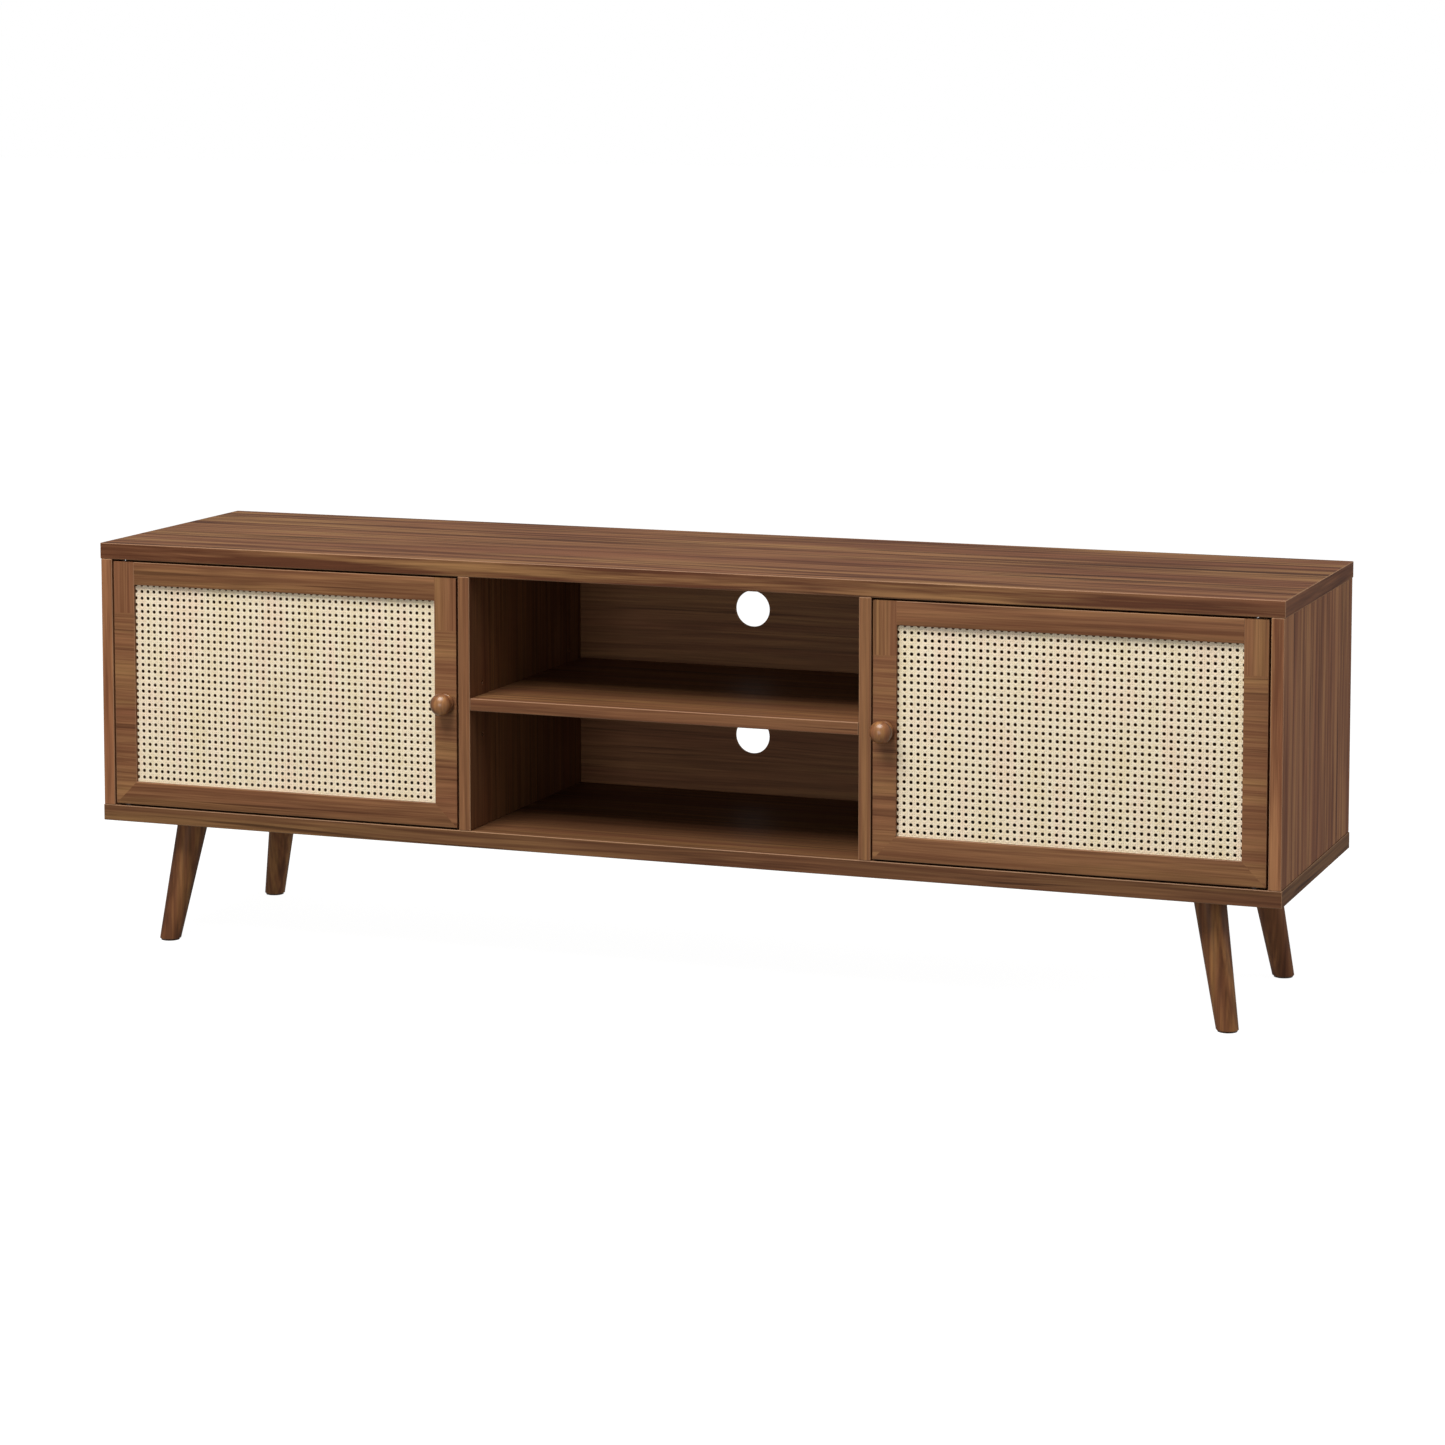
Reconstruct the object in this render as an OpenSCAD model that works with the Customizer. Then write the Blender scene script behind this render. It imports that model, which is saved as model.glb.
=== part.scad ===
// Low media cabinet on four splayed legs: two cane doors on pivot pins beside an open bay with one shelf.
// The front faces -Y, +X is the cabinet's right-hand end, +Z is up. The origin is on the floor,
// under the middle of the whole cabinet, knobs included.

/* [Cabinet] */
// Width over the top panel
cabinet_w = 1500; // [1300:10:1800]
// Depth of the top panel, front to back
cabinet_d = 370; // [340:5:450]
// Height of the body, from the underside of the bottom panel to the top
body_h = 350; // [320:5:450]
// Thickness of the top and bottom panels
slab_t = 20; // [18:1:25]
// Thickness of the sides, the dividers and the shelf
board_t = 15; // [15:1:18]
// Inside width of the open middle bay
bay_w = 495; // [420:5:600]
// How far the sides stand in from the ends of the top panel
side_step = 1; // [0:0.5:2]
// Small flat taken off every long edge
ease = 0.8; // [0.4:0.1:1.2]

/* [Doors] */
// Gap all round a door
door_gap = 2.5; // [2:0.5:4]
// Thickness of the door frame
door_t = 18; // [16:1:20]
// Width of the stiles and rails
frame_w = 28.5; // [26:0.5:34]
// Thickness of the frame's front lip, which the cane lies behind
lip_t = 4; // [3:0.5:5]
// How far the rebate for the cane reaches into the frame
rebate_w = 8; // [6:1:8]
// Thickness of the woven cane
cane_t = 1.8; // [1.4:0.2:2.4]
// Depth of the beads that hold the cane
bead_t = 8; // [6:1:9]

/* [Knobs] */
// Diameter of the knob's head
knob_d = 27; // [22:1:34]
// How far the knob stands out from the door
knob_out = 25; // [20:1:32]
// Diameter of the knob's foot
knob_foot_d = 23; // [19:1:25]

/* [Pivots] */
// Diameter of the pivot pins
pin_d = 5; // [4:0.5:6]
// Pivot axis from the door's outer edge
pivot_in = 14; // [13:0.5:16]
// Pivot axis behind the door's front face
pivot_back = 7; // [6:0.5:8]
// Running clearance on the pin's radius
run_fit = 0.05; // [0.03:0.01:0.1]

/* [Back and cables] */
// Thickness of the back boards
back_t = 4; // [3:0.5:6]
// From the rear edges of the panels to the back boards
back_inset = 16; // [10:1:25]
// Depth of the grooves that the back boards slide into
groove_h = 4.5; // [4:0.5:6]
// Diameter of the cable holes
cable_hole_d = 46; // [40:1:60]
// Cable holes' centres below the underside of the board above them
cable_hole_drop = 73; // [60:1:80]
// Cable holes' centres to the right of the cabinet's middle; below 0 is to the left
cable_hole_x = -12; // [-100:1:100]

/* [Legs] */
// Clear height under the body
leg_clear = 155; // [120:5:200]
// Leg's diameter at the top
leg_top_d = 38; // [32:1:42]
// Leg's diameter at the foot
leg_foot_d = 26; // [20:1:28]
// Leg's centre in from the end of the cabinet, at the top
leg_in_x = 97; // [80:1:140]
// Leg's centre in from the front or rear edge, at the top
leg_in_y = 56; // [50:1:80]
// How far the foot leans out sideways
splay_x = 27; // [10:1:40]
// How far the foot leans out to the front or rear
splay_y = 16; // [5:1:25]
// Thickness of the felt glide under the foot
glide_t = 2; // [2:0.5:5]

/* [Hidden] */
$fn = 48;

// colours
walnut = [0.50, 0.34, 0.24];
walnut_dark = [0.22, 0.14, 0.10];
cane_straw = [0.93, 0.86, 0.74];
beech = [0.84, 0.71, 0.53];
steel = [0.72, 0.73, 0.75];
zinc = [0.80, 0.79, 0.74];
brown_nylon = [0.30, 0.20, 0.15];
brown_plastic = [0.30, 0.20, 0.14];
felt = [0.30, 0.22, 0.17];

// heights, from the underside of the bottom panel
cut = 1;                               // how far a cutter runs past the face it cuts
floor_z = slab_t;                      // inside floor of the body
ceiling_z = body_h - slab_t;           // inside ceiling of the body
shelf_z = (body_h - board_t) / 2;      // underside of the middle shelf

// places across the cabinet, for the right-hand half
half_w = cabinet_w / 2;
side_out_x = half_w - side_step;
side_in_x = side_out_x - board_t;
divider_in_x = bay_w / 2;
divider_out_x = divider_in_x + board_t;
door_x0 = divider_out_x + door_gap;
door_x1 = side_in_x - door_gap;
door_z0 = floor_z + door_gap;
door_z1 = ceiling_z - door_gap;
open_x0 = door_x0 + frame_w;
open_x1 = door_x1 - frame_w;
open_z0 = door_z0 + frame_w;
open_z1 = door_z1 - frame_w;
pivot_x = door_x1 - pivot_in;
knob_x = door_x0 + frame_w / 2;
knob_z = body_h / 2;
y_centre = (cabinet_d - knob_out) / 2;  // middle of the whole cabinet, front to back

// back boards
back_y = cabinet_d - back_inset - back_t;
groove_side_fit = 0.2;                 // room at each face of a board in its groove
groove_end_fit = 0.5;                  // room at the edges of a board in its groove

// fittings in the uprights' ends: cams and dowels above, screws and dowels below
cam_y = [60, cabinet_d - 60];
dowel_y = [110, cabinet_d - 110];
cam_drop = 34;                         // cam's centre below the end of the upright
cam_d = 15;
cam_h = 12;
cam_hole_h = 12.5;
cam_bolt_r = 3;
cam_bolt_neck_r = 2;
cam_bolt_thread_r = 2.5;
cam_bolt_thread_h = 10;
cam_head_h = 3;
cam_channel_r = 3.5;
cam_slot_l = 10;
cam_slot_w = 1.6;
dowel_r = 4;
dowel_l = 30;
dowel_slab_h = 11;
dowel_end_fit = 0.5;
screw_head_r = 5;
screw_head_h = 4;
screw_shank_r = 3.5;
screw_thread_r = 2.5;
screw_l = 50;
hex_key_d = 4.6;
hex_key_h = 2.5;

// shelf pins, in rows 32 mm apart
pin_row_y = [38, cabinet_d - 60];
pin_row_pitch = 32;
shelf_pin_r = 2.5;
shelf_pin_in = 7;
shelf_pin_out = 8;
shelf_end_fit = 0.5;
shelf_pin_z = shelf_z - shelf_pin_r;

// door pivots
pin_r = pin_d / 2;
pin_in_slab = 12;
pin_in_door = 14;
bush_r = pin_r + 1;
bush_l = 15;
flange_r = 5;
flange_t = 1.2;
washer_gap = 0.1;                      // end play between the washer and the bush's flange
washer_t = door_gap - flange_t - washer_gap;

// knob and its screw
knob_bore_r = 2;
knob_bore_h = 15;
knob_screw_head_r = 4.5;
knob_screw_head_h = 2.2;
knob_screw_hole_r = 2.3;
cross_w = 1.2;
cross_l = 4.5;
cross_h = 1.2;

// magnetic catch under the top panel, and the strike plate on the door
catch_x = door_x0 + 50;
catch_gap = 0.3;                       // strike plate to magnet with the door shut
strike_t = 1.2;
strike_w = 30;
strike_h = 14;
strike_z = door_z1 - 3.5 - strike_h;
strike_screw_r = 1.5;
strike_screw_head_r = 2.8;
strike_screw_l = 11;
strike_screw_dx = 9;
catch_w = 40;
catch_d = 16;
catch_h = 15;
catch_ear_w = 9;
catch_ear_h = 3;
catch_screw_r = 1.5;
catch_screw_head_r = 3;
catch_screw_head_h = 1.6;
catch_screw_l = 15;
magnet_w = 32;
magnet_d = 6;
magnet_h = 9;
catch_y = door_t + strike_t + catch_gap;

// leg fixings
leg_h = leg_clear - glide_t;
leg_tilt = atan(norm([splay_x, splay_y]) / leg_h);
leg_overrun = 20;                      // extra length that the flat cuts take off again
bolt_r = 4;
bolt_in_leg = 30;
bolt_in_slab = 13;
insert_r = 6;
insert_h = 14;
glide_r = leg_foot_d / 2 - 1.5;

// Lifts the body on to its legs and centres it front to back
module placed() { translate([0, -y_centre, leg_clear]) children(); }

// The right-hand thing and its mirror image
module both_sides() { children(); mirror([1, 0, 0]) children(); }

// side = 1 keeps a right-hand part, side = -1 makes it left-hand
module handed(side) { mirror([side < 0 ? 1 : 0, 0, 0]) children(); }

// Rectangle with its four corners taken off
module eased_rect(a, b) {
    polygon([[ease, 0], [a - ease, 0], [a, ease], [a, b - ease], [a - ease, b], [ease, b],
             [0, b - ease], [0, ease]]);
}

// Board from one corner, with a small flat along each of its edges
module eased_board(at, size) {
    translate(at) intersection() {
        linear_extrude(size.z) eased_rect(size.x, size.y);
        translate([0, size.y, 0]) rotate([90, 0, 0]) linear_extrude(size.y) eased_rect(size.x, size.z);
        rotate([90, 0, 90]) linear_extrude(size.x) eased_rect(size.y, size.z);
    }
}

// Plate lying in the door's plane: outline in X and Z, from y0 back to y1
module door_plate(outline, y0, y1) {
    translate([0, y1, 0]) rotate([90, 0, 0]) linear_extrude(y1 - y0) polygon(outline);
}

// Round hole or rod pointing to the rear, from y0 to y1
module rod_y(x, z, r, y0, y1) { translate([x, y0, z]) rotate([-90, 0, 0]) cylinder(r = r, h = y1 - y0); }

// Round hole or rod pointing up, from z0 to z1
module rod_z(x, y, r, z0, z1) { translate([x, y, z0]) cylinder(r = r, h = z1 - z0); }

// Middle lines of the four uprights
upright_x = [-(side_in_x + board_t / 2), -(divider_in_x + board_t / 2),
             divider_in_x + board_t / 2, side_in_x + board_t / 2];

// ---- panels ----

// Groove along a slab for the back boards
module slab_groove(z0) {
    translate([-side_in_x - groove_h, back_y - groove_side_fit, z0])
        cube([2 * (side_in_x + groove_h), back_t + 2 * groove_side_fit, groove_h + cut]);
}

module top_panel() {
    color(walnut) placed() difference() {
        eased_board([-half_w, 0, ceiling_z], [cabinet_w, cabinet_d, slab_t]);
        slab_groove(ceiling_z - cut);
        for (x = upright_x) {
            for (y = cam_y) rod_z(x, y, cam_bolt_thread_r, ceiling_z - cut, ceiling_z + cam_bolt_thread_h);
            for (y = dowel_y)
                rod_z(x, y, dowel_r, ceiling_z - cut, ceiling_z + dowel_slab_h + dowel_end_fit);
        }
        both_sides() {
            rod_z(pivot_x, pivot_back, pin_r, ceiling_z - cut, ceiling_z + pin_in_slab);
            for (dx = catch_screw_dx) rod_z(catch_x + dx, catch_screw_y, catch_screw_r,
                ceiling_z - cut, ceiling_z + catch_screw_l - catch_ear_h);
        }
    }
}

module bottom_panel() {
    color(walnut) placed() difference() {
        eased_board([-half_w, 0, 0], [cabinet_w, cabinet_d, slab_t]);
        slab_groove(floor_z - groove_h);
        for (x = upright_x) {
            for (y = cam_y) {
                rod_z(x, y, screw_head_r, -cut, screw_head_h);
                rod_z(x, y, screw_shank_r, 0, slab_t + cut);
            }
            for (y = dowel_y) rod_z(x, y, dowel_r, slab_t - dowel_slab_h - dowel_end_fit, slab_t + cut);
        }
        both_sides() {
            rod_z(pivot_x, pivot_back, pin_r, floor_z - pin_in_slab, floor_z + cut);
            for (y = leg_ys) rod_z(leg_x, y, insert_r, -cut, insert_h);
        }
    }
}

// Upright board whose lower-left corner is at x0; cam_side is 1 or -1, the face that the cams go in from.
// groove_sides and pin_sides list the faces with a back groove and with shelf pin holes.
module upright(x0, cam_side, groove_sides, pin_sides) {
    mid_x = x0 + board_t / 2;
    difference() {
        eased_board([x0, 0, floor_z], [board_t, cabinet_d, ceiling_z - floor_z]);
        for (s = groove_sides)
            translate([mid_x + s * board_t / 2 - (s > 0 ? groove_h : cut), back_y - groove_side_fit, floor_z - cut])
                cube([groove_h + cut, back_t + 2 * groove_side_fit, ceiling_z - floor_z + 2 * cut]);
        for (y = cam_y) {
            rod_z(mid_x, y, cam_channel_r, ceiling_z - cam_drop, ceiling_z + cut);
            translate([mid_x + cam_side * (board_t / 2 + cut), y, ceiling_z - cam_drop])
                rotate([0, -90 * cam_side, 0]) cylinder(r = cam_d / 2, h = cam_hole_h + cut);
            rod_z(mid_x, y, screw_thread_r, floor_z - cut, screw_l);
        }
        for (y = dowel_y) {
            rod_z(mid_x, y, dowel_r, ceiling_z - (dowel_l - dowel_slab_h) - dowel_end_fit, ceiling_z + cut);
            rod_z(mid_x, y, dowel_r, floor_z - cut, floor_z + (dowel_l - dowel_slab_h) + dowel_end_fit);
        }
        for (s = pin_sides, y = pin_row_y, row = [-1:1])
            translate([mid_x + s * (board_t / 2 + cut), y, shelf_pin_z + row * pin_row_pitch])
                rotate([0, -90 * s, 0]) cylinder(r = shelf_pin_r, h = shelf_pin_in + cut);
    }
}

module side_panel(side) {
    color(walnut) placed() handed(side) upright(side_in_x, -1, [-1], []);
}

module divider(side) {
    color(walnut) placed() handed(side) upright(divider_in_x, 1, [-1, 1], [-1]);
}

module centre_shelf() {
    shelf_w = bay_w - 2 * shelf_end_fit;
    color(walnut) placed() eased_board([-shelf_w / 2, 0, shelf_z], [shelf_w, back_y - shelf_end_fit, board_t]);
}

// Back board between x0 and x1, reaching into the grooves all round
module back_board(x0, x1) {
    reach = groove_h - groove_end_fit;
    translate([x0 - reach, back_y, floor_z - reach])
        cube([x1 - x0 + 2 * reach, back_t, ceiling_z - floor_z + 2 * reach]);
}

module side_back_board(side) {
    color(walnut_dark) placed() handed(side) back_board(divider_out_x, side_in_x);
}

module centre_back_board() {
    color(walnut_dark) placed() difference() {
        back_board(-divider_in_x, divider_in_x);
        for (z = [ceiling_z, shelf_z])
            rod_y(cable_hole_x, z - cable_hole_drop, cable_hole_d / 2, back_y - cut, back_y + back_t + cut);
    }
}

// ---- legs ----

leg_x = half_w - leg_in_x;
leg_ys = [leg_in_y, cabinet_d - leg_in_y];

// Tapered round leg, cut level at both ends and leaning out towards (side, end)
module leg(side, end) {
    taper = (leg_top_d - leg_foot_d) / 2 / leg_h;
    long = leg_h / cos(leg_tilt) + 2 * leg_overrun;
    color(walnut) placed() translate([side * leg_x, end < 0 ? leg_ys[0] : leg_ys[1], 0]) difference() {
        rotate([0, 180 - leg_tilt, atan2(end * splay_y, side * splay_x)])
            rotate([0, 0, 90]) translate([0, 0, -leg_overrun])
                cylinder(h = long, r1 = leg_top_d / 2 + taper * leg_overrun,
                         r2 = leg_foot_d / 2 - taper * leg_overrun, $fn = 64);
        translate([-leg_h, -leg_h, 0]) cube(2 * leg_h);
        translate([-leg_h, -leg_h, -3 * leg_h]) cube(2 * leg_h);
        rod_z(0, 0, bolt_r, -bolt_in_leg, cut);
    }
}

module at_legs() {
    for (side = [-1, 1], y = leg_ys) translate([side * leg_x, y, 0]) children();
}

module leg_bolts() {
    color(steel) placed() at_legs() rod_z(0, 0, bolt_r, -bolt_in_leg, bolt_in_slab);
}

module leg_insert_nuts() {
    color(zinc) placed() at_legs() difference() {
        rod_z(0, 0, insert_r, 0, insert_h);
        rod_z(0, 0, bolt_r, -cut, insert_h + cut);
    }
}

module leg_glides() {
    color(felt) placed() for (side = [-1, 1], end = [-1, 1])
        translate([side * (leg_x + splay_x), (end < 0 ? leg_ys[0] : leg_ys[1]) + end * splay_y, -leg_clear])
            cylinder(r = glide_r, h = glide_t);
}

// ---- carcass fittings ----

module cam_bolts() {
    head_z = ceiling_z - cam_drop;
    color(steel) placed() for (x = upright_x, y = cam_y) {
        rod_z(x, y, cam_bolt_thread_r, ceiling_z, ceiling_z + cam_bolt_thread_h);
        rod_z(x, y, cam_bolt_r, head_z + 2 * cam_head_h, ceiling_z);
        rod_z(x, y, cam_bolt_neck_r, head_z, head_z + 2 * cam_head_h);
        rod_z(x, y, cam_bolt_r, head_z - cam_head_h / 2, head_z + cam_head_h / 2);
    }
}

// Which way each upright's cams face: into the cupboards
cam_faces = [1, -1, 1, -1];

module cam_nuts() {
    color(zinc) placed() for (i = [0:3], y = cam_y)
        translate([upright_x[i], y, ceiling_z - cam_drop]) difference() {
            translate([cam_faces[i] * (board_t / 2 - cam_h - 0.2), 0, 0])
                rotate([0, 90 * cam_faces[i], 0]) cylinder(r = cam_d / 2, h = cam_h);
            rod_z(0, 0, cam_channel_r, -cam_head_h, cam_d);
            translate([cam_faces[i] * board_t / 2 - cross_h, -cam_slot_l / 2, -cam_slot_w / 2])
                cube([2 * cross_h, cam_slot_l, cam_slot_w]);
            translate([cam_faces[i] * board_t / 2 - cross_h, -cam_slot_w / 2, -cam_slot_l / 2])
                cube([2 * cross_h, cam_slot_w, cam_slot_l]);
        }
}

module wood_dowels() {
    color(beech) placed() for (x = upright_x, y = dowel_y) {
        rod_z(x, y, dowel_r, ceiling_z + dowel_slab_h - dowel_l, ceiling_z + dowel_slab_h);
        rod_z(x, y, dowel_r, floor_z - dowel_slab_h, floor_z - dowel_slab_h + dowel_l);
    }
}

module base_screws() {
    color(zinc) placed() for (x = upright_x, y = cam_y) difference() {
        union() {
            rod_z(x, y, screw_head_r, 0, screw_head_h);
            rod_z(x, y, screw_shank_r, screw_head_h, slab_t);
            rod_z(x, y, screw_thread_r, slab_t, screw_l);
        }
        translate([x, y, -cut]) cylinder(d = hex_key_d, h = hex_key_h + cut, $fn = 6);
    }
}

module shelf_pins() {
    color(steel) placed() both_sides() for (y = pin_row_y)
        translate([divider_in_x - shelf_pin_out, y, shelf_pin_z])
            rotate([0, 90, 0]) cylinder(r = shelf_pin_r, h = shelf_pin_out + shelf_pin_in);
}

// ---- pivots and catches on the body ----

module bottom_pivot_pins() {
    color(steel) placed() both_sides()
        rod_z(pivot_x, pivot_back, pin_r, floor_z - pin_in_slab, door_z0 + pin_in_door);
}

module top_pivot_pins() {
    color(steel) placed() both_sides()
        rod_z(pivot_x, pivot_back, pin_r, door_z1 - pin_in_door, ceiling_z + pin_in_slab);
}

module pivot_washers() {
    color(brown_nylon) placed() both_sides() difference() {
        rod_z(pivot_x, pivot_back, flange_r, floor_z, floor_z + washer_t);
        rod_z(pivot_x, pivot_back, pin_r, floor_z - cut, floor_z + washer_t + cut);
    }
}

catch_screw_dx = [-(catch_w + catch_ear_w) / 2, (catch_w + catch_ear_w) / 2];
catch_screw_y = catch_y + catch_d / 2;

module catch_housings() {
    ears_w = catch_w + 2 * catch_ear_w;
    color(brown_plastic) placed() both_sides() difference() {
        union() {
            eased_board([catch_x - catch_w / 2, catch_y, ceiling_z - catch_h], [catch_w, catch_d, catch_h]);
            eased_board([catch_x - ears_w / 2, catch_y, ceiling_z - catch_ear_h], [ears_w, catch_d, catch_ear_h]);
        }
        translate([catch_x - magnet_w / 2, catch_y - cut, ceiling_z - catch_h + (catch_h - magnet_h) / 2])
            cube([magnet_w, magnet_d + cut, magnet_h]);
        for (dx = catch_screw_dx)
            rod_z(catch_x + dx, catch_screw_y, catch_screw_r, ceiling_z - catch_ear_h - cut, ceiling_z + cut);
    }
}

module catch_magnets() {
    color(steel) placed() both_sides()
        translate([catch_x - magnet_w / 2, catch_y, ceiling_z - catch_h + (catch_h - magnet_h) / 2])
            cube([magnet_w, magnet_d, magnet_h]);
}

module catch_screws() {
    head_z = ceiling_z - catch_ear_h - catch_screw_head_h;
    color(zinc) placed() both_sides() for (dx = catch_screw_dx) difference() {
        union() {
            rod_z(catch_x + dx, catch_screw_y, catch_screw_head_r, head_z, ceiling_z - catch_ear_h);
            rod_z(catch_x + dx, catch_screw_y, catch_screw_r, ceiling_z - catch_ear_h,
                  ceiling_z - catch_ear_h + catch_screw_l - 0.5);
        }
        translate([catch_x + dx, catch_screw_y, head_z]) cross_recess();
    }
}

// Cross for a screwdriver, opening downwards at z = 0
module cross_recess() {
    translate([-cross_l / 2, -cross_w / 2, -cut]) cube([cross_l, cross_w, cut + cross_h]);
    translate([-cross_w / 2, -cross_l / 2, -cut]) cube([cross_w, cross_l, cut + cross_h]);
}

// ---- doors ----
// Each door is drawn for the right-hand cupboard, hinged on its outer edge, and mirrored for the left.

// Everything that is cut out of the frame: the rebate, pivot holes and screw holes
module door_cuts() {
    translate([open_x0 - rebate_w, lip_t, open_z0 - rebate_w])
        cube([open_x1 - open_x0 + 2 * rebate_w, door_t, open_z1 - open_z0 + 2 * rebate_w]);
    rod_z(pivot_x, pivot_back, bush_r, door_z0 - cut, door_z0 + bush_l);
    rod_z(pivot_x, pivot_back, bush_r, door_z1 - bush_l, door_z1 + cut);
    rod_y(knob_x, knob_z, knob_screw_hole_r, -cut, door_t + cut);
    rod_y(knob_x, knob_z, knob_screw_head_r, door_t - knob_screw_head_h, door_t + cut);
    for (dx = [-strike_screw_dx, strike_screw_dx])
        rod_y(catch_x + dx, strike_z + strike_h / 2, strike_screw_r,
              door_t + strike_t - strike_screw_l, door_t + cut);
}

// Frame member of the door from its outline in X and Z
module frame_member(side, outline) {
    color(walnut) placed() handed(side) difference() {
        door_plate(outline, 0, door_t);
        door_cuts();
    }
}

// The stiles run through at the top and are mitred at the bottom
module hinge_stile(side) {
    frame_member(side, [[open_x1, door_z1], [door_x1 - ease, door_z1], [door_x1, door_z1 - ease],
                        [door_x1, door_z0], [open_x1, open_z0]]);
}

module knob_stile(side) {
    frame_member(side, [[open_x0, door_z1], [door_x0 + ease, door_z1], [door_x0, door_z1 - ease],
                        [door_x0, door_z0], [open_x0, open_z0]]);
}

module top_rail(side) {
    frame_member(side, [[open_x0, open_z1], [open_x1, open_z1], [open_x1, door_z1], [open_x0, door_z1]]);
}

module bottom_rail(side) {
    frame_member(side, [[door_x0, door_z0], [door_x1, door_z0], [open_x1, open_z0], [open_x0, open_z0]]);
}

cane_fit = 1;                          // room between the cane's edge and the rebate
bead_w = rebate_w - 0.4;
bead_y = lip_t + cane_t;

module cane_panel(side) {
    over = rebate_w - cane_fit;
    color(cane_straw) placed() handed(side) translate([open_x0 - over, lip_t, open_z0 - over])
        cube([open_x1 - open_x0 + 2 * over, cane_t, open_z1 - open_z0 + 2 * over]);
}

// Four strips in the rebate behind the cane
module cane_beads(side) {
    x0 = open_x0 - bead_w;
    x1 = open_x1 + bead_w;
    z0 = open_z0 - bead_w;
    z1 = open_z1 + bead_w;
    color(walnut) placed() handed(side) {
        for (z = [z0, z1 - bead_w]) translate([x0, bead_y, z]) cube([x1 - x0, bead_t, bead_w]);
        for (x = [x0, x1 - bead_w])
            translate([x, bead_y, z0 + bead_w]) cube([bead_w, bead_t, z1 - z0 - 2 * bead_w]);
    }
}

// Half outline of the turned knob, as [radius, height above the door]
function arc(cx, cy, rx, ry, a0, a1, n) =
    [for (i = [0:n]) let (a = a0 + (a1 - a0) * i / n) [cx + rx * cos(a), cy + ry * sin(a)]];
knob_neck_r = knob_foot_d / 2 - 5.5;
knob_foot_h = 4;
knob_neck_z = 7;
knob_rim_z = knob_out - 11;            // widest level of the head
knob_profile = concat(
    [[0, 0], [knob_foot_d / 2, 0]],
    arc(knob_foot_d / 2 - 1, knob_foot_h - 1, 1, 1, 0, 90, 4),
    [[knob_neck_r, knob_neck_z]],
    arc(knob_neck_r, knob_rim_z, knob_d / 2 - knob_neck_r, knob_rim_z - knob_neck_z, -80, 0, 8),
    arc(0, knob_rim_z, knob_d / 2, knob_out - knob_rim_z, 8, 90, 12));

module knob(side) {
    color(walnut) placed() handed(side) translate([knob_x, 0, knob_z]) rotate([90, 0, 0]) difference() {
        rotate_extrude($fn = 48) polygon(knob_profile);
        translate([0, 0, -cut]) cylinder(r = knob_bore_r, h = knob_bore_h + cut);
    }
}

module knob_screw(side) {
    color(zinc) placed() handed(side) difference() {
        union() {
            rod_y(knob_x, knob_z, knob_bore_r, -knob_bore_h + cut, door_t - knob_screw_head_h);
            rod_y(knob_x, knob_z, knob_screw_head_r, door_t - knob_screw_head_h, door_t);
        }
        translate([knob_x, door_t, knob_z]) rotate([90, 0, 0]) cross_recess();
    }
}

// Flanged nylon bushes in the ends of the hinge stile
module pivot_bushes(side) {
    bore_r = pin_r + run_fit;
    color(brown_nylon) placed() handed(side) difference() {
        union() {
            rod_z(pivot_x, pivot_back, bush_r, door_z0, door_z0 + bush_l);
            rod_z(pivot_x, pivot_back, flange_r, door_z0 - flange_t, door_z0);
            rod_z(pivot_x, pivot_back, bush_r, door_z1 - bush_l, door_z1);
            rod_z(pivot_x, pivot_back, flange_r, door_z1, door_z1 + flange_t);
        }
        rod_z(pivot_x, pivot_back, bore_r, door_z0 - flange_t - cut, door_z0 + bush_l + cut);
        rod_z(pivot_x, pivot_back, bore_r, door_z1 - bush_l - cut, door_z1 + flange_t + cut);
    }
}

// Cone of a countersunk head, with its wide end at the plate's rear face
module countersink(dx) {
    translate([catch_x + dx, door_t, strike_z + strike_h / 2]) rotate([-90, 0, 0])
        cylinder(r1 = strike_screw_r, r2 = strike_screw_head_r, h = strike_t);
}

module strike_plate(side) {
    color(steel) placed() handed(side) difference() {
        translate([catch_x - strike_w / 2, door_t, strike_z]) cube([strike_w, strike_t, strike_h]);
        for (dx = [-strike_screw_dx, strike_screw_dx]) countersink(dx);
    }
}

module strike_screws(side) {
    color(zinc) placed() handed(side) for (dx = [-strike_screw_dx, strike_screw_dx]) {
        countersink(dx);
        rod_y(catch_x + dx, strike_z + strike_h / 2, strike_screw_r,
              door_t + strike_t - strike_screw_l + 0.5, door_t);
    }
}

top_panel();
bottom_panel();
side_panel(-1);  // left_side_panel
side_panel(1);  // right_side_panel
divider(-1);  // left_divider
divider(1);  // right_divider
centre_shelf();
side_back_board(-1);  // left_back_board
centre_back_board();
side_back_board(1);  // right_back_board
leg(-1, -1);  // front_left_leg
leg(1, -1);  // front_right_leg
leg(-1, 1);  // rear_left_leg
leg(1, 1);  // rear_right_leg
leg_bolts();
leg_insert_nuts();
leg_glides();
cam_bolts();
cam_nuts();
wood_dowels();
base_screws();
shelf_pins();
bottom_pivot_pins();
top_pivot_pins();
pivot_washers();
catch_housings();
catch_magnets();
catch_screws();
hinge_stile(-1);  // left_hinge_stile
knob_stile(-1);  // left_knob_stile
top_rail(-1);  // left_top_rail
bottom_rail(-1);  // left_bottom_rail
cane_panel(-1);  // left_cane_panel
cane_beads(-1);  // left_cane_beads
knob(-1);  // left_knob
knob_screw(-1);  // left_knob_screw
pivot_bushes(-1);  // left_pivot_bushes
strike_plate(-1);  // left_strike_plate
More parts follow.
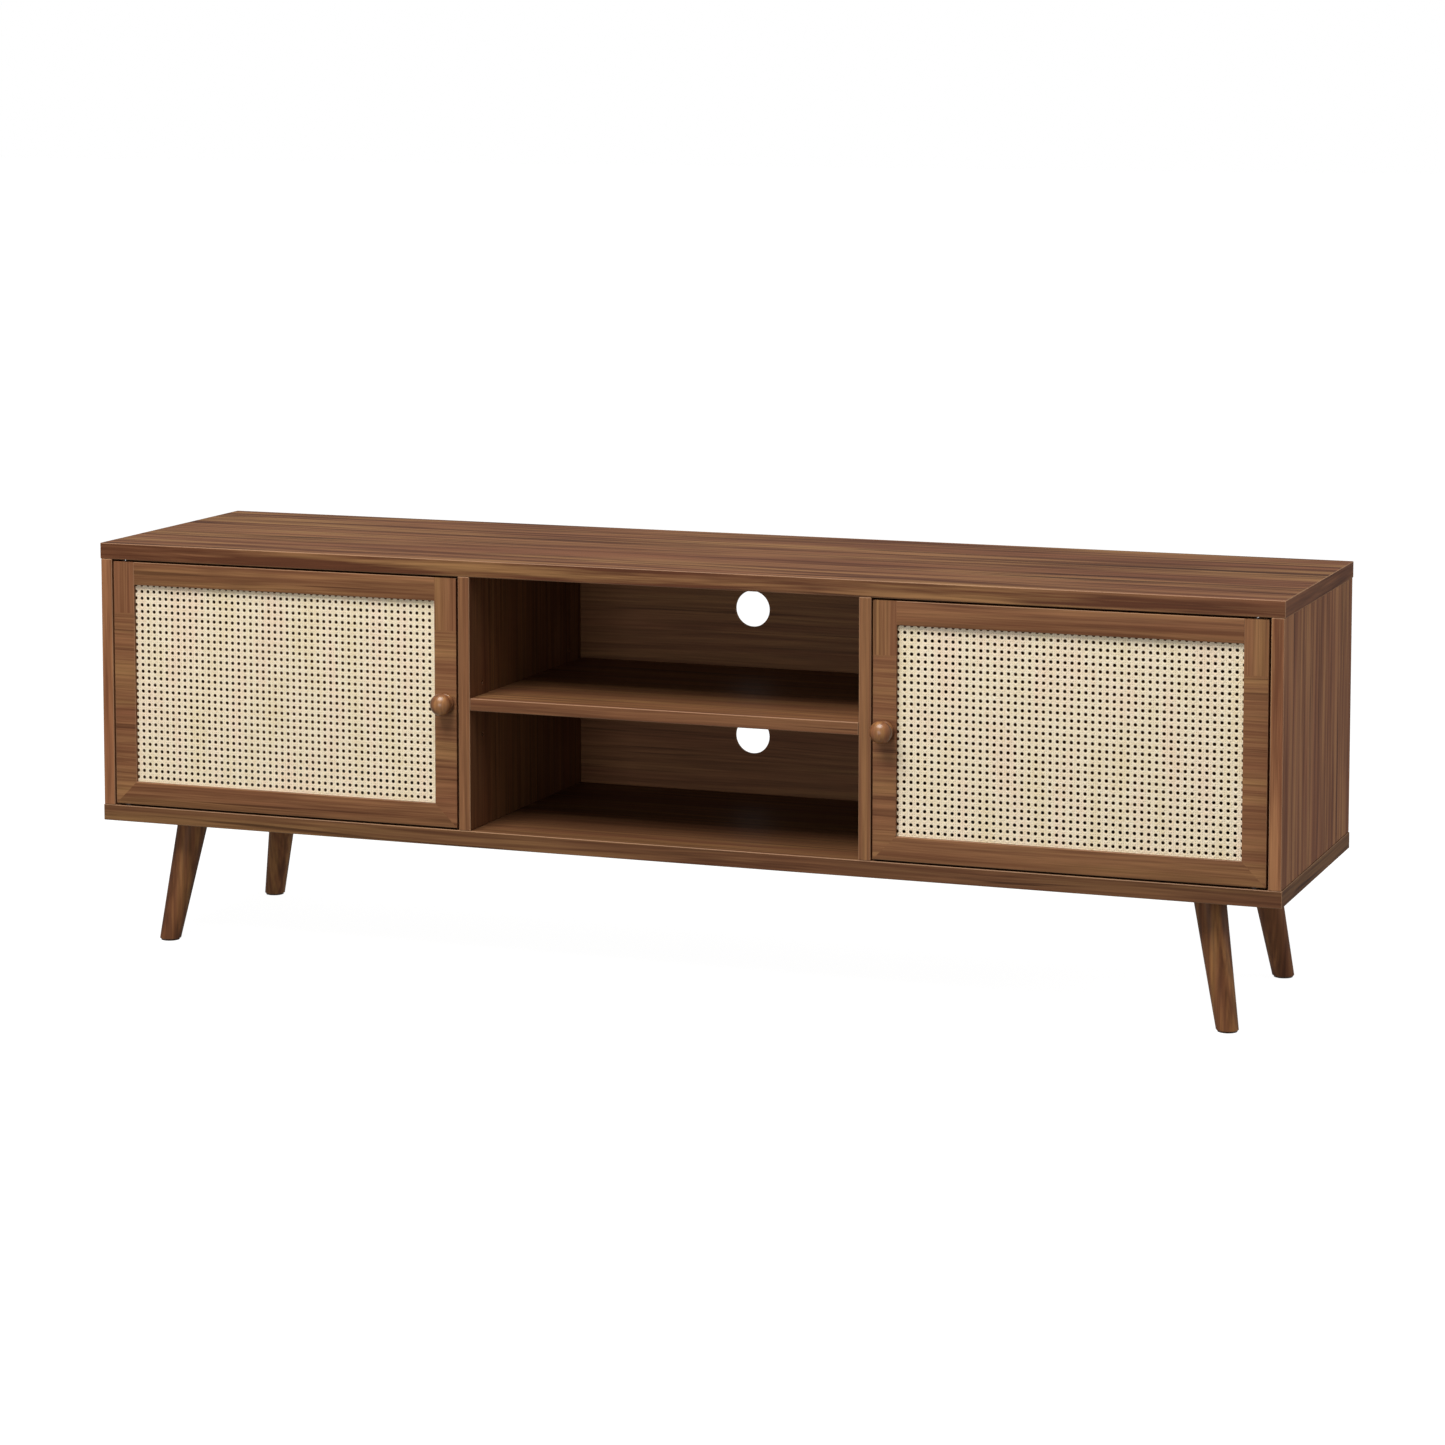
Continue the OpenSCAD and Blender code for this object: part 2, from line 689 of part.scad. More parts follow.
strike_screws(-1);  // left_strike_screws
hinge_stile(1);  // right_hinge_stile
knob_stile(1);  // right_knob_stile
top_rail(1);  // right_top_rail
bottom_rail(1);  // right_bottom_rail
cane_panel(1);  // right_cane_panel
cane_beads(1);  // right_cane_beads
knob(1);  // right_knob
knob_screw(1);  // right_knob_screw
pivot_bushes(1);  // right_pivot_bushes
strike_plate(1);  // right_strike_plate
strike_screws(1);  // right_strike_screws
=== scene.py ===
# A low media cabinet on four splayed legs: an open middle bay with one shelf, and a cane door on pivot pins
# at each end. Everything is in metres, the front faces -Y, +Z is up and the floor is z = 0.
import math

import bmesh
import bpy
from mathutils import Matrix, Vector


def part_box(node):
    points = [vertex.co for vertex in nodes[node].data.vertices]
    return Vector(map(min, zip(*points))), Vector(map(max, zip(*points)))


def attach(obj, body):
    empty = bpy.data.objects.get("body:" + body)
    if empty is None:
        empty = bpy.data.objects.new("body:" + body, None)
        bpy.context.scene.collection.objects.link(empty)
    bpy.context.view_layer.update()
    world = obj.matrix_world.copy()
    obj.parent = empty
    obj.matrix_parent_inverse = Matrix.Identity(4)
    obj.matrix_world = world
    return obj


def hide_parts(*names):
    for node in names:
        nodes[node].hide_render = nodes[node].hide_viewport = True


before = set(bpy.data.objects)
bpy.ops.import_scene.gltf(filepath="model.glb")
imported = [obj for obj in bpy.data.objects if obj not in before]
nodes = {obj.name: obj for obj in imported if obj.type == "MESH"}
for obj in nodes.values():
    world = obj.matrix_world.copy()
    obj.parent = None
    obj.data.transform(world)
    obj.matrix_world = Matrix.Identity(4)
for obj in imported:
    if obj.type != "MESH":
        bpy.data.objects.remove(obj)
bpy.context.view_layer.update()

# ---- camera ----
# The camera stands 4.4 m in front of the cabinet and to its right, 0.6 m above its top, and looks slightly
# down. A long lens keeps the long edges nearly parallel, and its shift holds the cabinet in mid-frame.
camera_dip = 5.54
camera_turn = 20.52
camera_data = bpy.data.cameras.new("camera")
camera_data.sensor_width = 36
camera_data.lens = 100.3
camera_data.shift_y = -0.2
camera = bpy.data.objects.new("camera", camera_data)
camera.location = (1.7226, -4.5654, 1.1248)
camera.rotation_euler = (math.radians(90 - camera_dip), 0, math.radians(camera_turn))
bpy.context.scene.collection.objects.link(camera)
bpy.context.scene.camera = camera

# ---- studio ----
# A white sweep with a lit white table top as the floor. A big soft box hangs high in front of the cabinet, a
# small one stands low in front of the bay and a third lights the right side. The rest of the room is dim, so
# the bay's sides fall away into shadow.
bpy.context.scene.view_settings.view_transform = "Standard"


def linear(hex_colour):
    """An sRGB hex value as linear RGBA."""
    parts = [int(hex_colour[i:i + 2], 16) / 255 for i in (1, 3, 5)]
    return [c / 12.92 if c <= 0.04045 else ((c + 0.055) / 1.055) ** 2.4 for c in parts] + [1]


def add(tree, kind, settings, links):
    """A node: lower-case settings are its own choices, the others and the links are its inputs."""
    node = tree.nodes.new("ShaderNode" + kind)
    for name, value in settings.items():
        if name == "stops":
            for element in list(node.color_ramp.elements)[2:]:
                node.color_ramp.elements.remove(element)
            while len(node.color_ramp.elements) < len(value):
                node.color_ramp.elements.new(1)
            for element, (place, colour) in zip(node.color_ramp.elements, value):
                element.position = place
                element.color = colour
        elif isinstance(name, str) and name.islower():
            setattr(node, name, value)
        else:
            node.inputs[name].default_value = value
    for name, source in links.items():
        tree.links.new(source, node.inputs[name])
    return node


def new_material(name):
    """An empty material with its output, as (material, node tree, output)."""
    material = bpy.data.materials.new(name)
    material.use_nodes = True
    material.node_tree.nodes.clear()
    return material, material.node_tree, add(material.node_tree, "OutputMaterial", {}, {})


# The sweep itself is white, and the room that lights the cabinet from all round is darker than it.
world = bpy.data.worlds.new("studio_room")
world.use_nodes = True
tree = world.node_tree
tree.nodes.clear()
seen = add(tree, "LightPath", {}, {})
sweep_white = add(tree, "Background", {"Color": linear("#ffffff"), "Strength": 1.0}, {})
room_dim = add(tree, "Background", {"Color": linear("#ffffff"), "Strength": 0.24}, {})
either = add(tree, "MixShader", {}, {0: seen.outputs["Is Camera Ray"], 1: room_dim.outputs[0],
                                     2: sweep_white.outputs[0]})
add(tree, "OutputWorld", {}, {"Surface": either.outputs[0]})
bpy.context.scene.world = world

# Opal acrylic lit from below: white, matt, and bright enough to drown most of the shadow.
acrylic, tree, output = new_material("opal_acrylic_table")
frosting = add(tree, "TexNoise", {"Scale": 900, "Detail": 2}, {})
frosted = add(tree, "Bump", {"Strength": 0.05, "Distance": 0.0002}, {"Height": frosting.outputs["Fac"]})
shader = add(tree, "BsdfPrincipled", {"Base Color": [0.15, 0.15, 0.15, 1], "Roughness": 0.9, "IOR": 1.49,
                                      "Specular IOR Level": 0.0, "Emission Color": linear("#ffffff"),
                                      "Emission Strength": 0.975}, {"Normal": frosted.outputs["Normal"]})
tree.links.new(shader.outputs["BSDF"], output.inputs["Surface"])

sweep_reach = 30
bm = bmesh.new()
bmesh.ops.create_grid(bm, x_segments=1, y_segments=1, size=sweep_reach)
sweep_mesh = bpy.data.meshes.new("floor")
bm.to_mesh(sweep_mesh)
bm.free()
sweep_mesh.materials.append(acrylic)
sweep = bpy.data.objects.new("floor", sweep_mesh)
bpy.context.scene.collection.objects.link(sweep)
# the camera sees the table, but reflections and bounced light leave it out, so the underside stays dark
sweep.visible_glossy = False
sweep.visible_diffuse = False

cabinet_middle = Vector((0, 0, 0.33))
for name, place, size, power in (("high_soft_box", (-0.5, -2.3, 4.2), 2.6, 250),
                                 ("low_soft_box", (-0.3, -4.0, 0.5), 1.4, 31),
                                 ("right_soft_box", (4.6, 0.9, 1.6), 2.0, 66)):
    soft_box = bpy.data.lights.new(name, "AREA")
    soft_box.shape = "SQUARE"
    soft_box.size = size
    soft_box.energy = power
    lamp = bpy.data.objects.new(name, soft_box)
    lamp.location = place
    lamp.rotation_euler = (cabinet_middle - Vector(place)).to_track_quat("-Z", "Y").to_euler()
    bpy.context.scene.collection.objects.link(lamp)

# ---- top and bottom panels ----
# Two 20 mm chipboard panels wrapped in walnut-grain foil. The grain of the foil runs along the cabinet, and
# the ends are banded with strips of the same foil, whose grain runs front to back.
grain_turn = {"X": (0, 0, 0), "Y": (0, 0, -math.pi / 2), "Z": (0, math.pi / 2, 0)}


def walnut_grain(tree, grain, start, banded_ends=False, upright_above=None):
    """Object coordinates turned so that X runs along the grain, from a start of its own on the foil.

    banded_ends turns the grain front to back on the two ends, and upright_above stands it up past a height.
    """
    place = add(tree, "TexCoord", {}, {})
    along = add(tree, "Mapping", {"Rotation": grain_turn[grain], "Location": start},
                {"Vector": place.outputs["Object"]}).outputs[0]
    if banded_ends:
        band = add(tree, "Mapping", {"Rotation": grain_turn["Y"], "Location": start},
                   {"Vector": place.outputs["Object"]})
        facing = add(tree, "SeparateXYZ", {}, {"Vector": place.outputs["Normal"]})
        outward = add(tree, "Math", {"operation": "ABSOLUTE"}, {0: facing.outputs["X"]})
        on_end = add(tree, "Math", {"operation": "GREATER_THAN", 1: 0.8}, {0: outward.outputs[0]})
        along = add(tree, "Mix", {"data_type": "VECTOR"},
                    {0: on_end.outputs[0], 4: along, 5: band.outputs[0]}).outputs[1]
    if upright_above is not None:
        upright = add(tree, "Mapping", {"Rotation": grain_turn["Z"], "Location": start},
                      {"Vector": place.outputs["Object"]})
        height = add(tree, "SeparateXYZ", {}, {"Vector": place.outputs["Object"]})
        blur = 0.001
        above = add(tree, "MapRange", {"From Min": upright_above - blur, "From Max": upright_above + blur},
                    {"Value": height.outputs["Z"]})
        along = add(tree, "Mix", {"data_type": "VECTOR"},
                    {0: above.outputs[0], 4: along, 5: upright.outputs[0]}).outputs[1]
    bend = add(tree, "Mapping", {"Scale": (2.2, 14, 14)}, {"Vector": along})
    drift = add(tree, "TexNoise", {"Scale": 1, "Detail": 1}, {"Vector": bend.outputs[0]})
    sway = add(tree, "VectorMath", {"operation": "MULTIPLY_ADD", 1: (0, 0.012, 0.012)},
               {0: drift.outputs["Color"], 2: along})
    return place, sway.outputs[0]


def walnut_foil(name, grain, start, banded_ends=False, upright_above=None, painted_light_tone=1.0, spread=1.0,
                figure=0.55, painted_arris_highlight=True):
    """Printed walnut foil: broad bands, darker streaks and fine fibres along the grain, with a satin shine.

    tone paints light and shade onto the board as a lighter or darker colour, spread widens its figure,
    figure strengthens it, and eased paints a pale highlight onto its arrises.
    """
    material, tree, output = new_material(name)
    place, along = walnut_grain(tree, grain, start, banded_ends, upright_above)
    layers = []
    for length, width, detail in ((0.60, 0.026 * spread, 2), (0.34, 0.0052 * spread, 4),
                                  (0.50, 0.0070 * spread, 2), (0.09, 0.0021, 3)):
        stretched = add(tree, "Mapping", {"Scale": (1 / length, 1 / width, 1 / width)}, {"Vector": along})
        layers.append(add(tree, "TexNoise", {"Scale": 1, "Detail": detail, "Roughness": 0.6},
                          {"Vector": stretched.outputs[0]}).outputs["Fac"])
    patches, streaks, dark_lines, fibres = layers
    band = 0.14 / figure
    base = add(tree, "ValToRGB", {"stops": [(0.5 - band, linear("#9c7249")), (0.5, linear("#8f6342")),
                                            (0.5 + band, linear("#83553a"))]}, {"Fac": patches})
    streak_mask = add(tree, "MapRange", {"From Min": 0.58, "From Max": 0.38, "To Max": 0.9 * figure},
                      {"Value": streaks})
    streaked = add(tree, "Mix", {"data_type": "RGBA", 7: linear("#5f3824")},
                   {0: streak_mask.outputs[0], 6: base.outputs["Color"]})
    line_mask = add(tree, "MapRange", {"From Min": 0.61, "From Max": 0.68, "To Max": 0.8 * figure},
                    {"Value": dark_lines})
    lined = add(tree, "Mix", {"data_type": "RGBA", 7: linear("#3f2114")},
                {0: line_mask.outputs[0], 6: streaked.outputs[2]})
    # Painted light and shade: the tone scales the whole colour, and its value is set board by board to how
    # brightly that face is lit.
    fibres_and_painted_light = add(tree, "MapRange", {"From Min": 0.25, "From Max": 0.75, "To Min": 0.78 * painted_light_tone,
                                         "To Max": 1.18 * painted_light_tone}, {"Value": fibres})
    coloured = add(tree, "VectorMath", {"operation": "SCALE"},
                   {0: lined.outputs[2], "Scale": fibres_and_painted_light.outputs[0]}).outputs[0]
    # Painted highlight: faces that slant between two sides, the arris chamfers and roundings, are mixed
    # towards a pale brown in place of the light that edges catch.
    if painted_arris_highlight:
        facing = add(tree, "VectorMath", {"operation": "ABSOLUTE"}, {0: place.outputs["Normal"]})
        sides = add(tree, "SeparateXYZ", {}, {"Vector": facing.outputs[0]})
        flat = add(tree, "Math", {"operation": "MAXIMUM"}, {0: sides.outputs["X"], 1: sides.outputs["Y"]})
        flatter = add(tree, "Math", {"operation": "MAXIMUM"}, {0: flat.outputs[0], 1: sides.outputs["Z"]})
        arris_highlight_mask = add(tree, "MapRange", {"From Min": 0.97, "From Max": 0.85, "To Max": 0.5},
                       {"Value": flatter.outputs[0]})
        coloured = add(tree, "Mix", {"data_type": "RGBA", 7: linear("#b08a6b")},
                       {0: arris_highlight_mask.outputs[0], 6: coloured}).outputs[2]
    satin = add(tree, "MapRange", {"To Min": 0.40, "To Max": 0.56}, {"Value": fibres})
    embossed = add(tree, "Bump", {"Strength": 0.35, "Distance": 0.0002}, {"Height": fibres})
    shader = add(tree, "BsdfPrincipled", {"IOR": 1.5, "Specular IOR Level": 0.1},
                 {"Base Color": coloured, "Roughness": satin.outputs[0],
                  "Normal": embossed.outputs["Normal"]})
    tree.links.new(shader.outputs["BSDF"], output.inputs["Surface"])
    return material


def dress(names, material):
    """Puts the material on CAD nodes that keep their own shape."""
    for name in names:
        nodes[name].data.materials.clear()
        nodes[name].data.materials.append(material)


# These boards all wear one foil. The tones given here paint each board lighter or darker to match the light
# on its faces, as painted light and shade.
dress(["top_panel"], walnut_foil("walnut_foil_top", "X", (0.37, 0.10, 0.21), banded_ends=True,
                                 painted_light_tone=0.84, spread=2.0, figure=1.15))
dress(["bottom_panel"], walnut_foil("walnut_foil_bottom", "X", (2.93, 1.32, 0.77), banded_ends=True,
                                    painted_light_tone=0.62, figure=0.8))

# ---- sides and dividers ----
# Four 15 mm chipboard uprights in the same foil, with the grain standing up. They are held to the top by
# cams and dowels, and to the bottom by screws and dowels.
for hand, start in (("left", (1.1, 0.31, 0.52)), ("right", (4.6, 0.83, 1.92))):
    dress([hand + "_side_panel"], walnut_foil(f"walnut_foil_{hand}_side", "Z", start,
                                              painted_light_tone=1.25, spread=2.1, figure=1.0))
for hand, start in (("left", (2.2, 3.47, 0.15)), ("right", (3.7, 2.09, 0.68))):
    dress([hand + "_divider"], walnut_foil(f"walnut_foil_{hand}_divider", "Z", start, painted_light_tone=0.92))

# ---- shelf ----
# One 15 mm foil-wrapped board across the middle bay, lying loose on four steel pins.
dress(["centre_shelf"], walnut_foil("walnut_foil_shelf", "X", (5.3, 0.44, 1.58), painted_light_tone=0.8, figure=0.75))

# ---- back boards ----
# Thin hardboard printed with the same walnut grain, let into grooves behind each bay.
# The middle board has a bare round cable hole above the shelf and one below it.
for name, start in (("left_back_board", (6.1, 1.7, 0.4)), ("centre_back_board", (7.4, 0.2, 1.1)),
                    ("right_back_board", (8.8, 2.6, 2.3))):
    dress([name], walnut_foil("printed_hardboard_" + name, "X", start, painted_light_tone=0.86, painted_arris_highlight=False))

# ---- legs ----
# Four turned beech legs, stained walnut: tapered to the foot, leaning out, and cut level at both ends.
# A steel bolt in the top of each screws into a nut let into the bottom panel.
leg_in_x = 0.097
leg_in_y = 0.056
leg_top_radius = 0.019
leg_foot_radius = 0.013
leg_lean = Vector((0.027, 0.016))
leg_foot_round = 0.0006
turned_segments = 64
round_segments = 3
panel_low, panel_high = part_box("bottom_panel")


def stained_wood(name, grain, start, painted_light_tone=1.0, gloss=0.2, roughness=0.45):
    """Beech stained walnut under satin lacquer: long even fibres, and a low shine from the lacquer."""
    material, tree, output = new_material(name)
    along = walnut_grain(tree, grain, start)[1]
    layers = []
    for length, width, detail in ((0.25, 0.011, 2), (0.15, 0.0038, 3)):
        stretched = add(tree, "Mapping", {"Scale": (1 / length, 1 / width, 1 / width)}, {"Vector": along})
        layers.append(add(tree, "TexNoise", {"Scale": 1, "Detail": detail, "Roughness": 0.55},
                          {"Vector": stretched.outputs[0]}).outputs["Fac"])
    patches, fibres = layers
    base = add(tree, "ValToRGB", {"stops": [(0.34, linear("#8d6139")), (0.50, linear("#744a2d")),
                                            (0.66, linear("#5d3823"))]}, {"Fac": patches})
    # Painted light and shade: the tone scales the whole colour, and its value is set part by part to how
    # brightly the piece is lit.
    fibres_and_painted_light = add(tree, "MapRange", {"From Min": 0.25, "From Max": 0.75, "To Min": 0.62 * painted_light_tone,
                                         "To Max": 1.34 * painted_light_tone}, {"Value": fibres})
    coloured = add(tree, "VectorMath", {"operation": "SCALE"},
                   {0: base.outputs["Color"], "Scale": fibres_and_painted_light.outputs[0]})
    pores = add(tree, "Bump", {"Strength": 0.3, "Distance": 0.0002}, {"Height": fibres})
    shader = add(tree, "BsdfPrincipled", {"Roughness": roughness, "IOR": 1.5, "Specular IOR Level": gloss},
                 {"Base Color": coloured.outputs[0], "Normal": pores.outputs["Normal"]})
    tree.links.new(shader.outputs["BSDF"], output.inputs["Surface"])
    return material


def finished(bm, name, body, material, replaced, sharp=35):
    """A piece made from this bmesh, which rides on its body and stands for the CAD nodes it replaces."""
    mesh = bpy.data.meshes.new(name)
    bm.to_mesh(mesh)
    bm.free()
    mesh.materials.append(material)
    mesh.shade_smooth()
    mesh.set_sharp_from_angle(angle=math.radians(sharp))
    piece = bpy.data.objects.new(name, mesh)
    bpy.context.scene.collection.objects.link(piece)
    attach(piece, body)
    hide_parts(*replaced)
    return piece


def cut_flat(bm, place, normal):
    """Cuts off what lies past the plane, and closes the cut."""
    everything = bm.verts[:] + bm.edges[:] + bm.faces[:]
    cut = bmesh.ops.bisect_plane(bm, geom=everything, plane_co=place, plane_no=normal, clear_outer=True)
    rim = [item for item in cut["geom_cut"] if isinstance(item, bmesh.types.BMEdge)]
    bmesh.ops.edgeloop_fill(bm, edges=rim)


for end, end_name in ((-1, "front"), (1, "rear")):
    for side, side_name in ((-1, "left"), (1, "right")):
        name = f"{end_name}_{side_name}_leg"
        low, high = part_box(name)
        top = Vector((side * (panel_high.x - leg_in_x),
                      panel_low.y + leg_in_y if end < 0 else panel_high.y - leg_in_y, high.z))
        foot = Vector((top.x + side * leg_lean.x, top.y + end * leg_lean.y, low.z))
        axis = top - foot
        # the cone runs past each end by a quarter of the leg's length, and the level cuts take that off again
        taper = leg_top_radius - leg_foot_radius
        bm = bmesh.new()
        bmesh.ops.create_cone(bm, cap_ends=True, segments=turned_segments,
                              radius1=leg_foot_radius - taper / 4, radius2=leg_top_radius + taper / 4,
                              depth=axis.length * 1.5)
        turn = axis.to_track_quat("Z", "Y").to_matrix().to_4x4()
        bmesh.ops.transform(bm, matrix=Matrix.Translation((top + foot) / 2) @ turn, verts=bm.verts)
        for level, facing in ((top, (0, 0, 1)), (foot, (0, 0, -1))):
            cut_flat(bm, level, facing)
        foot_edges = [edge for edge in bm.edges if all(abs(v.co.z - foot.z) < 1e-6 for v in edge.verts)]
        bmesh.ops.bevel(bm, geom=foot_edges, offset=leg_foot_round, offset_type="OFFSET",
                        segments=round_segments, profile=0.5, affect="EDGES", material=-1)
        bmesh.ops.recalc_face_normals(bm, faces=bm.faces)
        start = (0.9 * end + 2, 0.6 * side, 0.3 * end * side)
        finished(bm, name + "_turned", "carcass",
                 stained_wood("stained_beech_" + name, "Z", start, painted_light_tone=1.1), [name])


def plain_metal(name, colour, roughness, scratch_mm):
    """A metal with its own colour, and fine marks this far apart that spread its shine."""
    material, tree, output = new_material(name)
    place = add(tree, "TexCoord", {}, {})
    marks = add(tree, "TexNoise", {"Scale": 1000 / scratch_mm, "Detail": 3},
                {"Vector": place.outputs["Object"]})
    shine = add(tree, "MapRange", {"To Min": roughness * 0.8, "To Max": roughness * 1.3},
                {"Value": marks.outputs["Fac"]})
    shade = add(tree, "MapRange", {"To Min": 0.85, "To Max": 1.05}, {"Value": marks.outputs["Fac"]})
    coloured = add(tree, "VectorMath", {"operation": "SCALE", 0: linear(colour)[:3]},
                   {"Scale": shade.outputs[0]})
    pitted = add(tree, "Bump", {"Strength": 0.15, "Distance": 0.0001}, {"Height": marks.outputs["Fac"]})
    shader = add(tree, "BsdfPrincipled", {"Metallic": 1},
                 {"Base Color": coloured.outputs[0], "Roughness": shine.outputs[0],
                  "Normal": pitted.outputs["Normal"]})
    tree.links.new(shader.outputs["BSDF"], output.inputs["Surface"])
    return material


# Zinc-plated steel: drawn bar, plated, pale grey with a soft bluish shine.
zinc_plated = plain_metal("zinc_plated_steel", "#b9bcc0", 0.32, 0.8)
# Die-cast zinc: duller and greyer than plated steel, with a faint grain from the mould.
cast_zinc = plain_metal("cast_zinc", "#a8a7a3", 0.48, 0.5)
dress(["leg_bolts"], zinc_plated)
dress(["leg_insert_nuts"], cast_zinc)

# Pressed wool felt: matt, with short tangled fibres that show as a fine mottle.
felt, tree, output = new_material("pressed_felt")
place = add(tree, "TexCoord", {}, {})
tangle = add(tree, "TexNoise", {"Scale": 1800, "Detail": 5, "Roughness": 0.7},
             {"Vector": place.outputs["Object"]})
mottle = add(tree, "ValToRGB", {"stops": [(0.35, linear("#3a2a20")), (0.65, linear("#5c4433"))]},
             {"Fac": tangle.outputs["Fac"]})
nap = add(tree, "Bump", {"Strength": 0.8, "Distance": 0.0004}, {"Height": tangle.outputs["Fac"]})
shader = add(tree, "BsdfPrincipled", {"Roughness": 0.95, "Sheen Weight": 0.4, "Sheen Roughness": 0.5},
             {"Base Color": mottle.outputs["Color"], "Normal": nap.outputs["Normal"]})
tree.links.new(shader.outputs["BSDF"], output.inputs["Surface"])
dress(["leg_glides"], felt)

# ---- carcass fittings ----
# Cams and their bolts pull the uprights to the top panel, long screws hold them to the bottom one, and beech
# dowels keep them in line. The metal ones are plated or cast, and show only in the cupboards or from below.
dress(["cam_bolts", "base_screws", "shelf_pins", "catch_screws"], zinc_plated)
dress(["cam_nuts"], cast_zinc)

# Beech: turned dowel rod, pale and even, with short darker flecks along the grain.
beech, tree, output = new_material("beech_dowel_rod")
along = walnut_grain(tree, "Z", (0, 0, 0))[1]
fleck_size = add(tree, "Mapping", {"Scale": (250, 1400, 1400)}, {"Vector": along})
flecks = add(tree, "TexNoise", {"Scale": 1, "Detail": 3}, {"Vector": fleck_size.outputs[0]})
fleck_colour = add(tree, "ValToRGB", {"stops": [(0.35, linear("#b98f63")), (0.6, linear("#dcbf94"))]},
                   {"Fac": flecks.outputs["Fac"]})
shader = add(tree, "BsdfPrincipled", {"Roughness": 0.6}, {"Base Color": fleck_colour.outputs["Color"]})
tree.links.new(shader.outputs["BSDF"], output.inputs["Surface"])
dress(["wood_dowels"], beech)

# ---- pivot pins and washers ----
# Each door turns on two 5 mm ground steel pins, one in the bottom panel and one in the top, and stands on a
# washer. Ground steel is brighter and smoother than the plated fittings.
dress(["bottom_pivot_pins", "top_pivot_pins"], plain_metal("ground_steel_pin", "#c8c9cb", 0.2, 0.4))


def moulded_plastic(name, colour, roughness, grain_mm):
    """Injection-moulded plastic: one even colour, and a fine satin texture from the mould."""
    material, tree, output = new_material(name)
    place = add(tree, "TexCoord", {}, {})
    texture = add(tree, "TexNoise", {"Scale": 1000 / grain_mm, "Detail": 2},
                  {"Vector": place.outputs["Object"]})
    shade = add(tree, "MapRange", {"To Min": 0.93, "To Max": 1.03}, {"Value": texture.outputs["Fac"]})
    coloured = add(tree, "VectorMath", {"operation": "SCALE", 0: linear(colour)[:3]},
                   {"Scale": shade.outputs[0]})
    etched = add(tree, "Bump", {"Strength": 0.2, "Distance": 0.0001}, {"Height": texture.outputs["Fac"]})
    shader = add(tree, "BsdfPrincipled", {"Roughness": roughness, "IOR": 1.5},
                 {"Base Color": coloured.outputs[0], "Normal": etched.outputs["Normal"]})
    tree.links.new(shader.outputs["BSDF"], output.inputs["Surface"])
    return material


brown_nylon = moulded_plastic("brown_nylon", "#3a281e", 0.5, 0.6)
dress(["pivot_washers", "left_pivot_bushes", "right_pivot_bushes"], brown_nylon)

# ---- magnetic catches ----
# A brown moulded housing with a flat ferrite magnet, screwed under the top panel behind each door.
# The thin plated plate that it holds is screwed to the back of the door frame.
dress(["catch_housings"], moulded_plastic("brown_abs", "#4d3526", 0.5, 0.6))
dress(["catch_magnets"], plain_metal("ferrite_magnet", "#3c3d40", 0.45, 0.5))
dress(["left_strike_plate", "right_strike_plate", "left_strike_screws", "right_strike_screws"], zinc_plated)

# ---- door frames ----
# Stiles and rails of 18 mm foil-wrapped board, glued up round the cane: butted at the top corners, where the
# stiles run through, and mitred at the bottom ones. Their front edges are rounded over under the foil.
frame_round = 0.0010
upright_patch = 0.065
weld = 0.00001
foil_starts = {"hinge_stile": (0.4, 0.9, 0.2), "knob_stile": (1.9, 0.1, 0.8), "top_rail": (3.3, 0.6, 0.5),
               "bottom_rail": (4.9, 1.4, 0.3)}
door_places = {"left": 0, "right": 6.5}
for hand, offset in door_places.items():
    stile_low, stile_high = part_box(hand + "_hinge_stile")
    front = stile_low.y
    for member, start in foil_starts.items():
        name = f"{hand}_{member}"
        is_stile = member.endswith("stile")
        bm = bmesh.new()
        bm.from_mesh(nodes[name].data)
        bmesh.ops.remove_doubles(bm, verts=bm.verts, dist=weld)
        bmesh.ops.dissolve_limit(bm, angle_limit=math.radians(1), verts=bm.verts, edges=bm.edges)
        # the edges of the front face that run along the member
        long_edges = []
        for edge in bm.edges:
            a, b = (v.co for v in edge.verts)
            if abs(a.y - front) < 1e-5 and abs(b.y - front) < 1e-5 and edge.calc_length() > 0.02:
                along = abs((b - a).normalized().z if is_stile else (b - a).normalized().x)
                if along > 0.99:
                    long_edges.append(edge)
        bmesh.ops.bevel(bm, geom=long_edges, offset=frame_round, offset_type="OFFSET",
                        segments=round_segments, profile=0.5, affect="EDGES", material=-1,
                        clamp_overlap=True)
        # The stiles and rails take different tones to match the light on them, as painted light and shade.
        material = walnut_foil("walnut_foil_" + name, "X", (start[0] + offset, start[1], start[2]),
                               upright_above=stile_high.z - upright_patch if is_stile else None,
                               painted_light_tone=0.94 if is_stile else 0.88, spread=0.7 if is_stile else 1.0,
                               figure=0.6 if is_stile else 0.7)
        finished(bm, name + "_board", hand + "_door", material, [name])
    dress([hand + "_cane_beads"], stained_wood(f"stained_bead_{hand}", "X", (offset, 0.4, 0.2)))

# ---- cane ----
# Open cane webbing, woven by machine from strips of rattan bark. Pairs of upright and level strips weave over
# and under each other, and two sets of slanting strips pass between them, which leaves eight-sided holes.
pitch = 0.00835
slant_pitch = pitch * math.sqrt(2)
strip_width = 0.0023
slant_width = 0.0022
strip_thick = 0.00042
pair_half = 0.00125
weave_height = 0.00045
slant_height = 0.0005
weave_steps = 4
slant_steps = 8


